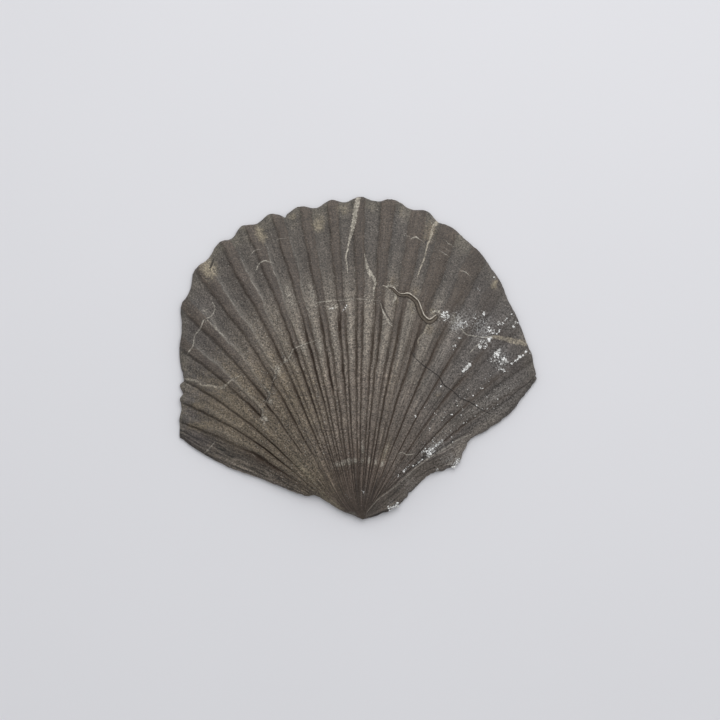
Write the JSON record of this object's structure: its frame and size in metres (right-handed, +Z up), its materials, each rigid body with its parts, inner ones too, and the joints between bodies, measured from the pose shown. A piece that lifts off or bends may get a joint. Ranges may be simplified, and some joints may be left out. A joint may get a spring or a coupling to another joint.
{
  "type": "fossil scallop",
  "caption": "Single valve of a ribbed fossil scallop in dark stone, lying flat side down, with a worm tube grown on it.",
  "frame": {"origin": "middle of the footprint's bounding box, on the surface the fossil rests on", "axes": "+Z up out of the convex side, +Y from the beak towards the growing margin, +X to the right as seen from above"},
  "size_m": [0.1402, 0.1264, 0.0153],
  "materials": {
    "dark_stone": "dull dark grey-brown stone with fine pale speckle, darker in the grooves, a few pale veins and white mineral specks"
  },
  "bodies": {
    "root": {"fossil_scallop": "dark_stone"}
  },
  "joints": []
}
